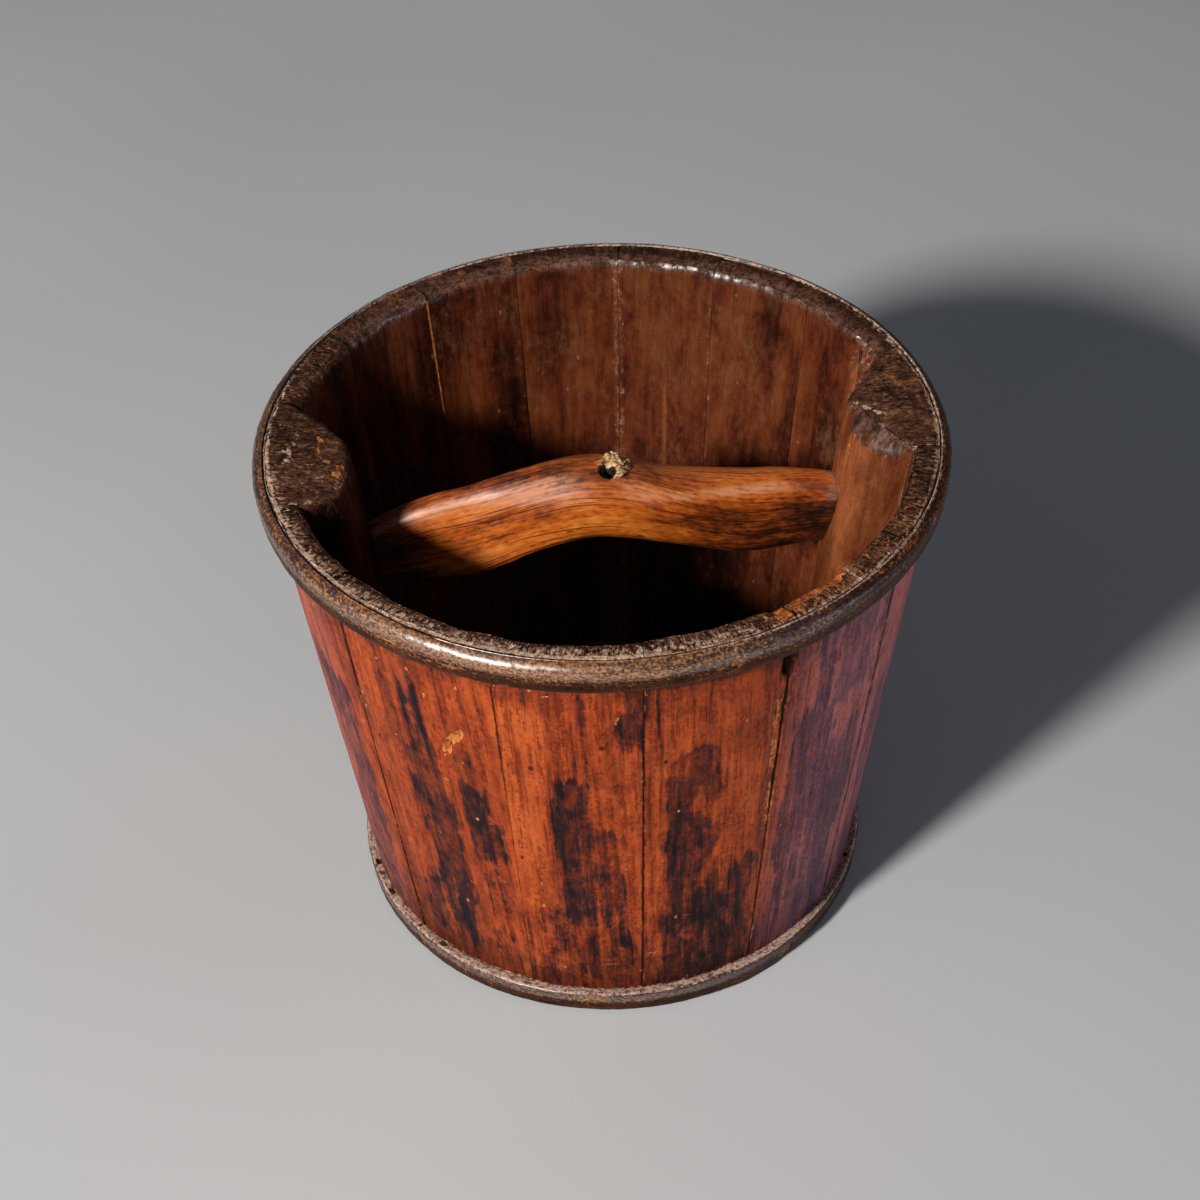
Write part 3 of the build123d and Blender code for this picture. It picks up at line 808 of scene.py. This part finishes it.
# handle staves: outline of the inside at the rim, anticlockwise, in mm
block = {
    "left": ((-132, 40.35), (-128.5, 36.2), (-119.4, 24.8), (-112.9, 11.8), (-111.6, -1.5), (-113.6, -15),
             (-118.6, -23.6), (-126, -28), (-134.8, -29.7)),
    "right": ((134.8, -29.7), (127, -27.2), (119.5, -21), (114, -11), (112.2, 0), (112.6, 9.2), (115.6, 15.6),
              (123.8, 28.4), (129.5, 36.6), (132, 40.35)),
    "rightBroken": ((134.8, -29.7), (132.4, -27.5), (128.6, -19), (124.4, -9.8), (118.5, -1.5), (114.2, 5.5),
                    (112.9, 9.8), (115.8, 15.8), (123.8, 28.4), (129.5, 36.6), (132, 40.35)),
    "foot": (.096, .136), "breakTo": (.2440, .2525), "thick": .0375,
    # share of the way round, half width, lowest, highest, depth in mm
    "tears": {
        "left": ((.55, .020, .200, .245, 1.0), (.30, .05, .215, .256, .8)),
        "right": ((.375, .034, .226, .250, 1.5), (.405, .040, .208, .240, 2.0), (.425, .026, .190, .222, 1.5),
                  (.50, .022, .200, .250, .8), (.80, .10, .195, .256, 1.2)),
    },
    # kind, half width, places on the top in mm
    "topMarks": {
        "left": (("bare", 1.5, ((-124.2, 15.8), (-125.6, 7), (-124, -1.2), (-119, -5.5), (-114.1, -7.7))),
                 ("bare", 2.4, ((-142.1, 27.1),)), ("bare", 2.6, ((-121, -13), (-117, -12))),
                 ("dust", 1.5, ((-135.5, 21), (-135, 15), (-138.4, 9), (-138, 4), (-141.4, -1))),
                 ("dust", 1.1, ((-138.4, 9), (-142, 7))), ("dust", 1.2, ((-138, 4), (-136.4, -4))),
                 ("dust", 1.0, ((-144, -32), (-136, -30.5), (-131, -29)))),
        "right": (("dust", 1.1, ((114.3, 6.8), (120, 1.5), (127.7, -5.8))),
                  ("dust", .8, ((124.4, -9.8), (128.6, -19), (133, -27.5))), ("bare", 1.4, ((133, 20), (137, 16))),
                  ("dust", .9, ((146, -31.5), (140, -30.6), (134, -29.2)))),
    },
}


def blockInside(name, start, end):
    count = 240
    full = throughPoints(block[name], count) / 1000
    broken = throughPoints(block.get(name + "Broken", block[name]), count) / 1000
    grid = np.linspace(0, 1, count)

    def inside(u, z):
        rim, snapped = alongLine(u, grid, full), alongLine(u, grid, broken)
        rough = lumps(np.stack([u * .09, z, z * 0], -1), .006, 7)
        low, high = block["breakTo"]
        lost = ease(z + .0016 * rough, low, high)[..., None]
        rim = rim * (1 - lost) + snapped * lost
        plain = ringPoint(start + u * (end - start), bucket["rim"] - bucket["wall"])
        here = ease(z, *block["foot"])[..., None]
        rim = plain * (1 - here) + rim * here
        far = np.linalg.norm(rim, axis=-1, keepdims=True)
        return rim * (1 - slope * (bucket["height"] - z)[..., None] / far)

    return inside


for side, (start, end) in (("left", leftStave), ("right", rightStave)):
    start, end = math.radians(start), math.radians(end)
    makeStave("handle_stave_" + side, start, end, 300 + len(side), staveLook["blockStep"],
              blockInside(side, start, end), block["thick"], block["tears"][side], block["topMarks"][side])
print("handle staves made")


# hoops

hoops = {
    "rim_hoop": {
        "low": .234, "high": .252, "thick": .006, "steps": 1150, "around": 44, "round": .0056, "groove": .0022,
        "inner": .0001, "wobble": .00035, "sag": .0003, "rubbedAndPaintedSheen": 1,
        # degrees, height, reach, depth
        "dents": ((14, .244, .004, .0009), (-30, .243, .006, .0005), (60, .246, .005, .0006), (-110, .242, .006, .0008),
                  (130, .245, .005, .0007), (13.4, .249, .0026, .0011), (-22, .236, .003, .0008)),
    },
    "foot_hoop": {
        "low": .001, "high": .014, "thick": .0046, "steps": 950, "around": 40, "round": .0019, "groove": .0004,
        "inner": -.0007, "wobble": .0004, "sag": 0, "rubbedAndPaintedSheen": .60,
        "dents": ((-55, .009, .005, .0008), (35, .006, .006, .0007), (80, .01, .006, .0008), (-140, .008, .005, .0008)),
        # in the ledge: degrees, half width, depth
        "pits": ((-80, .0020, .0024), (-76.5, .0014, .0020), (-70, .0024, .0026), (-57, .0012, .0016),
                 (-49, .0018, .0018), (66, .0016, .0016)),
    },
}
hoopSeam = {"far": .004, "half": .0007, "deep": .0009}       # the closed joint at the back
fullNick = .0008                                             # depth that shows as a bare chip


def hoopProfile(size):
    # closed outline, out from the wall and up: inner low, round the outside, inner top
    low, high, corner, inner, groove = (size[key] for key in ("low", "high", "round", "inner", "groove"))
    flat = size["thick"] - corner
    bends = [k * math.pi / 16 for k in range(1, 8)]
    line = [(inner, low), (flat, low)]
    line += [(flat + corner * math.sin(t), low + corner * (1 - math.cos(t))) for t in bends]
    line += [(size["thick"], low + corner), (size["thick"], high - corner)]
    line += [(flat + corner * math.cos(t), high - corner + corner * math.sin(t)) for t in bends]
    line += [(flat, high), (.0019, high - .0002), (.0009, high - groove * .36), (inner + .0001, high - groove),
             (inner, low)]
    return evenSteps(np.array(line), size["around"], True)


for name, size in hoops.items():
    low, high = size["low"], size["high"]
    outline = hoopProfile(size)
    theta = np.linspace(0, 2 * math.pi, size["steps"], endpoint=False) + math.pi / 2
    theta, lift = np.meshgrid(theta, outline[:, 1], indexing="ij")
    out = np.broadcast_to(outline[:, 0], theta.shape)
    arc = (theta - math.pi / 2) * outer(lift)
    radius = outer(lift) + out
    solid = ringPoint(theta, radius, lift)
    turn = turnOf(theta)
    skin = ease(out, .0008, .003)
    swell = size["wobble"] * lumps(solid, .045, 5) + .00016 * lumps(solid, .006, 6) + .0001 * lumps(solid, .0025, 8)
    nick = np.zeros(theta.shape)
    for at, height, reach, deep in size["dents"]:
        gone = np.hypot(np.radians(turn - at) * radius, lift - height) / reach + .35 * lumps(solid, .002, 9)
        nick = np.maximum(nick, deep * np.clip(1 - gone ** 2, 0, 1))
    fromBack = np.radians(180 - np.abs(turn)) * radius
    seam = hoopSeam["deep"] * np.exp(-((fromBack - hoopSeam["far"]) / hoopSeam["half"]) ** 2)
    radius = radius + skin * (swell - nick - seam)
    rise = ease(lift, high - .006, high - .001) * skin
    lifted = lift + rise * (size["sag"] * lumps(solid, .03, 3) - size["sag"])
    for at, half, deep in size.get("pits", ()):
        gone = np.abs(np.radians(turn - at)) * radius / half + .4 * lumps(solid, .0018, 10)
        onLedge = ease(lift, .011, .0135) * (1 - ease(out, .0016, .0030))
        lifted = lifted - deep * np.clip(1.3 - gone ** 2, 0, 1) * onLedge
    shoulder = ease(lift, low + .25 * (high - low), high - .25 * (high - low))
    # share: a pale rubbed shoulder, heavier on the front and left where the light falls, so partly a painted sheen
    share = shoulder * (.32 + .20 * hump(turn, -100, 14, 20) + .36 * hump(turn, -52, 14, 16)) * size["rubbedAndPaintedSheen"]
    dust = ease(lift, high - .0028, high - .0004)
    if name == "rim_hoop":
        dust = dust * (1 - ease(out, .0012, .0026)) * .66 * (1 - hump(turn, -115, 0, 15))
    else:
        # ledge dust, with extra on the right that is partly painted light on the shaded side
        dustWithPaintedLight = .80 + .16 * hump(turn, -125, -30, 25) + .26 * hump(turn, 30, 120, 20)
        dustWithPaintedLight = dustWithPaintedLight + .10 * lumps(solid, .02, 4) + .06 * lumps(solid, .006, 2)
        dust = dust * (1 - .22 * ease(out, .0016, .0026)) * (1 - ease(out, .0038, .0045)) * dustWithPaintedLight
        dust = dust - .8 * ease(lift - lifted, .0004, .0012)
    fields = {"grain": (arc, radius, lift), "marks": (share, nick / fullNick, dust),
              "haze": (shoulder, 1 - .93 * hump(turn, 28, 150, 16), lift * 0)}
    fields = {key: np.stack(parts, -1).reshape(-1, 3) for key, parts in fields.items()}
    makePiece(name + "_worn", ringPoint(theta, radius, lifted).reshape(-1, 3),
              tube(size["steps"], size["around"], True), hoopsMade, "dark_hoops", [name], **fields)
print("hoops made")

# dust packed in the groove between the rim hoop and the staves
dustLine = {"steps": 1500, "across": 9, "middle": -.0010, "half": .0005, "more": .0008, "low": .2490, "top": .2516,
            "below": .0006}
theta = np.linspace(0, 2 * math.pi, dustLine["steps"], endpoint=False)
theta, across = np.meshgrid(theta, np.linspace(0, 1, dustLine["across"]), indexing="ij")
turn = turnOf(theta)
at = ringPoint(theta, bucket["rim"], across * 0)
heavy = hump(turn, -100, -2, 14)
amount = .20 + .42 * hump(turn, -118, 118, 12) + .35 * heavy + .40 * lumps(at, .022, 15) + .25 * lumps(at, .006, 16)
half = dustLine["half"] + dustLine["more"] * heavy * (.6 + .4 * lumps(at, .012, 18))
bed = np.sin(np.pi * across) ** .6 * np.clip(amount, -.2, 1.1)
grit = .0002 * lumps(at + across[..., None] * .01, .0016, 17)
lift = dustLine["low"] + (dustLine["top"] - dustLine["low"]) * bed + grit
drift = .0009 * hump(turn, 30, 150, 20) - .0011 * hump(turn, -62, -2, 8) + .0006 * hump(turn, -120, -62, 8)
radius = bucket["rim"] + dustLine["middle"] + drift + .0004 * lumps(at, .015, 19) + half * (2 * across - 1)
under = ringPoint(theta, radius, np.minimum(lift, dustLine["low"]) - dustLine["below"])[:, ::-1][:, 1:-1]
ring = np.concatenate([ringPoint(theta, radius, lift), under], 1)
faces = tube(ring.shape[0], ring.shape[1], True)[:, ::-1]
makePiece("rim_joint_dust", ring.reshape(-1, 3), faces, dustMade, "dark_hoops")
print("dust laid")


# handle: sections from left to right, each round from the low front over the top, as (back, up) in mm

handle = {
    "sections": {
        -107: ((-4, 179), (-1.5, 188.5), (1.5, 198), (5, 203), (12, 202), (18.5, 192.5), (16.5, 181), (6, 175.5)),
        -85: ((-7, 181.5), (-4.5, 194), (-1, 206), (3.5, 213.5), (12, 213), (21, 200), (19, 183), (5, 176)),
        -60: ((-8.5, 183.5), (-5.8, 197), (-2, 211.5), (3, 220.3), (11.5, 219.8), (22, 205), (20, 186), (5, 178)),
        -35: ((-9.5, 192.5), (-8.5, 204), (-5.5, 217.5), (1.5, 226.5), (12, 226), (22.5, 211), (19.5, 194.5), (5, 187)),
        -10: ((-9.5, 199), (-11.5, 210), (-7.5, 222.5), (3, 230), (15, 228), (23, 214), (19.5, 199), (5, 192)),
        10: ((-9.5, 197), (-12, 208), (-9.5, 219.5), (1, 227), (15, 225), (23.5, 211), (20, 196.5), (5, 190.5)),
        32: ((-5.5, 188), (-9.5, 199), (-10, 212.5), (-4, 219.3), (15, 217.8), (24, 205), (20.5, 189.5), (7, 183.5)),
        62: ((0, 174.5), (-5, 188), (-6.5, 204), (-2, 214.5), (12, 215), (23.5, 202), (21, 183), (10, 172)),
        85: ((1.5, 174), (-3, 187), (-4, 202), (0, 212), (11, 213), (21.5, 201), (19.5, 183), (10, 172.5)),
        107: ((1, 176), (-2.5, 187), (-3, 199), (1, 207.5), (10, 208.5), (18.5, 198), (17, 183), (9, 174.5)),
    },
    "steps": 300, "around": 112, "middle": .191, "round": .018,
    "knot": {"x": .0055, "y": .0046, "wide": .0078, "hole": (.0026, .0012), "bore": .0034, "deep": .0070},
}
places = np.array(list(handle["sections"]))
sections = np.array(list(handle["sections"].values()))
line = throughPoints(np.concatenate([places[:, None], sections.reshape(len(places), -1)], 1), handle["steps"])
loops = np.stack([throughPoints(row.reshape(-1, 2), handle["around"], True) for row in line[:, 1:]]) / 1000
xs = np.broadcast_to((line[:, 0] / 1000)[:, None], loops.shape[:2])
bar = np.stack([xs, loops[..., 0], loops[..., 1]], -1)
lean = slope * (bar[..., 2] - handle["middle"])         # the ends follow the lean of the blocks
bar[..., 0] += np.sign(bar[..., 0]) * ease(np.abs(bar[..., 0]), .08, .106) * lean


def normals(grid):
    across = np.roll(grid, -1, 1) - np.roll(grid, 1, 1)
    ahead = np.gradient(grid, axis=0)
    n = np.cross(ahead, across)
    return n / np.maximum(np.linalg.norm(n, axis=-1, keepdims=True), 1e-12)


middle = bar.mean(1, keepdims=True)
facing = normals(bar)
facing *= np.sign(((bar - middle) * facing).sum(-1).mean())
knot = handle["knot"]
crest = bar[..., 2] > middle[..., 2]
away = np.hypot(bar[..., 0] - knot["x"], (bar[..., 1] - knot["y"]) * .9) / knot["wide"]
inHole = np.hypot(bar[..., 0] - knot["hole"][0], bar[..., 1] - knot["hole"][1]) / knot["bore"]
ragged = lumps(bar, .0035, 23)
pit = np.clip(1.15 - inHole - .25 * ragged, 0, 1) * crest
stub = (1 - ease(away + .3 * ragged, .55, 1.0)) * crest * (1 - ease(pit, 0, .15))
lip = stub * (.9 + .8 * lumps(bar, .0022, 24) + .5 * ease(bar[..., 0], knot["x"] - .004, knot["x"] + .004))
carved = .00055 * lumps(bar, (.03, .014, .014), 27) + .00018 * lumps(bar, (.02, .0035, .0035), 28)
bar = bar + facing * (carved + .0013 * lip - knot["deep"] * ease(pit, .02, .55))[..., None]
count, steps = handle["around"], handle["steps"]
faces = [list(quad) for quad in tube(steps, count, False)[:, ::-1]]
points = np.concatenate([bar.reshape(-1, 3), bar[[0, -1]].mean(1)])
for k in range(count):
    faces.append([k, (k + 1) % count, steps * count])
    last = (steps - 1) * count
    faces.append([last + (k + 1) % count, last + k, steps * count + 1])
x, up = bar[..., 0], facing[..., 2]
rawRim = stub * (1 - ease(pit, .1, .3))
worn = hump(x + .004 * lumps(bar, .006, 26), .1035, .12, .006) * ease(bar[..., 2], .190, .204) * .85
# shade: darker towards both ends, a painted shadow on the left end below the ridge, painted shade on the lower faces on
# the right, darker upper faces further left, a painted black in the knot hole, and painted light on the upper faces on
# the right
shade = ease(np.abs(x), .07, .105) * .4 + hump(x, .035, .12, .02) * (1 - ease(up, .0, .45)) * .80
shade += .60 * hump(x, -.13, -.084, .010) * (1 - ease(up, .25, .70))
shade += hump(x, -.12, .03, .03) * ease(up, .55, .9) * .45 - .12 + 3 * ease(pit, .04, .25)
shade -= .40 * hump(x, .012, .092, .012) * hump(up, .50, .86, .10)
# painted highlight on faces turned up and to the front, towards the light and the camera, along the ridge and on the
# right top
upFront = (.71 * up - .70 * facing[..., 1]) / np.maximum(np.hypot(facing[..., 1], up), 1e-9)
rubbedAndPaintedSheen = ease(upFront, .90, .99) * (.95 * hump(x, -.107, -.012, .010) + hump(x, .012, .088, .012))
bearing = np.linspace(0, 2 * math.pi, count, endpoint=False) + .10 * lumps(bar, (.05, .02, .02), 29)
fields = {"grain": (xs, handle["round"] * np.cos(bearing), handle["round"] * np.sin(bearing)),
          "marks": (worn, rawRim * .9, shade), "haze": (rubbedAndPaintedSheen, rubbedAndPaintedSheen * 0, rubbedAndPaintedSheen * 0)}
for key, parts in fields.items():
    field = np.stack(parts, -1)
    fields[key] = np.concatenate([field.reshape(-1, 3), field[[0, -1]].mean(1)])
makePiece("handle_worn", points, faces, handleMade, "handle_wood", ["handle"], **fields)

# broken fibres round the knot hole
fibreCount = 34
rng = np.random.default_rng(5)
crown = bar[crest]
points, faces = [], []
for k in range(fibreCount):
    angle = rng.uniform(-1.2, 2.6)
    far = knot["wide"] * rng.uniform(.40, .95)
    foot = np.array([knot["x"] + far * math.cos(angle), knot["y"] + far * math.sin(angle), 0])
    foot[2] = crown[np.argmin(np.hypot(crown[:, 0] - foot[0], crown[:, 1] - foot[1])), 2] - .0006
    lean = np.array([rng.normal(0, .35) - .3 * math.cos(angle), rng.normal(0, .3) - .3 * math.sin(angle), 1.0])
    tall = rng.uniform(.0008, .0024)
    tip = foot + lean * tall
    wide = rng.uniform(.0009, .0020)
    turnTo = np.array([-math.sin(angle), math.cos(angle), 0]) * wide
    deep = np.array([math.cos(angle), math.sin(angle), 0]) * wide * .5
    base = len(points)
    points += [foot - turnTo - deep, foot + turnTo - deep, foot + turnTo + deep, foot - turnTo + deep,
               tip - turnTo * .6, tip + turnTo * .5, tip + turnTo * .5 + deep * .7, tip - turnTo * .6 + deep * .7]
    faces += [[base + i for i in side] for side in
              ((3, 2, 1, 0), (4, 5, 6, 7), (0, 1, 5, 4), (1, 2, 6, 5), (2, 3, 7, 6), (3, 0, 4, 7))]
points = np.array(points)
makePiece("knot_fibres", points, faces, handleMade, "handle_wood", grain=points,
          marks=np.tile([0, 1, 0], (len(points), 1)))
print("handle made")


# bottom boards

boards = {"radius": .11183, "low": .0162, "thick": .011, "count": 3, "round": .0011}
for number in range(boards["count"]):
    wide = 2 * boards["radius"] / boards["count"]
    left = -boards["radius"] + wide * number
    edge = [0, .0004, .0009, .0016]
    us = ticks(2 * boards["radius"], .0034, edge, edge) / (2 * boards["radius"])
    vs = ticks(wide, .0016, edge, edge)
    ws = ticks(boards["thick"], .0022, edge[:3], edge[:3])
    u, v, w, flags, quads = slab(us, vs, ws)
    a, b, c = u * 2 * boards["radius"], v.copy(), w.copy()
    seeded = np.stack([a, b + number * 3, c], -1)
    b, c = roundOff(b, c, boards["round"])
    far, c = roundOff(wide - b, c, boards["round"])
    b = wide - far
    far, rise = roundOff(wide - b, boards["thick"] - c, boards["round"])
    b = wide - far
    b, rise = roundOff(b, rise, boards["round"])
    c = boards["thick"] - rise
    planed = .0003 * lumps(seeded, (.09, .012, 1), 91) + .0002 * lumps(seeded, (.05, .003, 1), 92)
    c = c + (flags["top"].astype(float) - flags["low"]) * (planed - .0003)
    y = left + b
    half = np.sqrt(np.maximum(boards["radius"] ** 2 - y ** 2, 1e-6))
    points = np.stack([(2 * u - 1) * half, y, boards["low"] + c], -1)
    node = f"bottom_board_{number + 1}"
    makePiece(node + "_worn", points, quads, boardsMade, "bottom_wood", [node], grain=seeded)
for name in ("stave_dowels", "board_dowels"):
    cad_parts[name].data.materials.clear()
    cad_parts[name].data.materials.append(dowelsMade)
print("bottom made")


# floor, light and camera

floorSize = 6
bpy.ops.mesh.primitive_plane_add(size=floorSize * 2, location=(0, 0, 0))
floor = bpy.context.object
floor.name = "studio_floor"
pale = Finish("paleFloor", Roughness=1, Specular_IOR_Level=0)
soft = pale.noise(pale.node("TexCoord", out="Object"), (1.5, 1.5, 1.5), 2, .5)
floor.data.materials.append(pale.done(Base_Color=pale.mix(soft, (.58, .595, .615), (.64, .65, .67))))

lights = {
    "key": {"turn": -46, "rise": 33, "kind": "AREA", "far": 3.2, "size": .38, "power": 112, "colour": (1, .96, .90)},
    "fill": {"turn": 72, "rise": 4, "kind": "SPOT", "far": 2.4, "size": .58, "power": 44, "colour": (.70, .77, 1),
             "beam": 22, "blend": .8},
}
aim = (0, 0, .13)
sky = {"Color": (.80, .86, .95, 1), "Strength": .10}
view = {"place": (-.0913, -.8960, .9397), "lens": 76.27, "pitch": .71836, "yaw": -.0984, "roll": -.0322, "sensor": 36}


def axesFrom(turn, rise):
    # right, up and back of a lamp or camera that stands there and looks at the bucket
    back = np.array([math.sin(turn) * math.cos(rise), -math.cos(turn) * math.cos(rise), math.sin(rise)])
    right = np.array([math.cos(turn), math.sin(turn), 0])
    return right, np.cross(back, right), back


def putDown(name, data, right, up, back, place):
    made = bpy.data.objects.new(name, data)
    made.matrix_world = Matrix([[right[k], up[k], back[k], place[k]] for k in range(3)] + [[0, 0, 0, 1]])
    bpy.context.scene.collection.objects.link(made)
    return made


for name, look in lights.items():
    lamp = bpy.data.lights.new(name, look["kind"])
    lamp.energy, lamp.color = look["power"], look["colour"]
    if look["kind"] == "AREA":
        lamp.shape, lamp.size = "DISK", look["size"]
    else:
        lamp.shadow_soft_size = look["size"] / 2
        lamp.spot_size, lamp.spot_blend = math.radians(look["beam"]), look["blend"]
    right, up, back = axesFrom(math.radians(look["turn"]), math.radians(look["rise"]))
    putDown(name, lamp, right, up, back, back * look["far"] + np.array(aim))
world = bpy.data.worlds.new("studio")
world.use_nodes = True
for key, value in sky.items():
    world.node_tree.nodes["Background"].inputs[key].default_value = value
bpy.context.scene.world = world
bpy.context.scene.view_settings.view_transform = "Standard"

level, rise, back = axesFrom(view["yaw"], view["pitch"])
right = math.cos(view["roll"]) * level + math.sin(view["roll"]) * rise
up = -math.sin(view["roll"]) * level + math.cos(view["roll"]) * rise
camera = bpy.data.cameras.new("camera")
camera.lens, camera.sensor_width = view["lens"], view["sensor"]
bpy.context.scene.camera = putDown("camera", camera, right, up, back, view["place"])
print("floor, light and camera set")
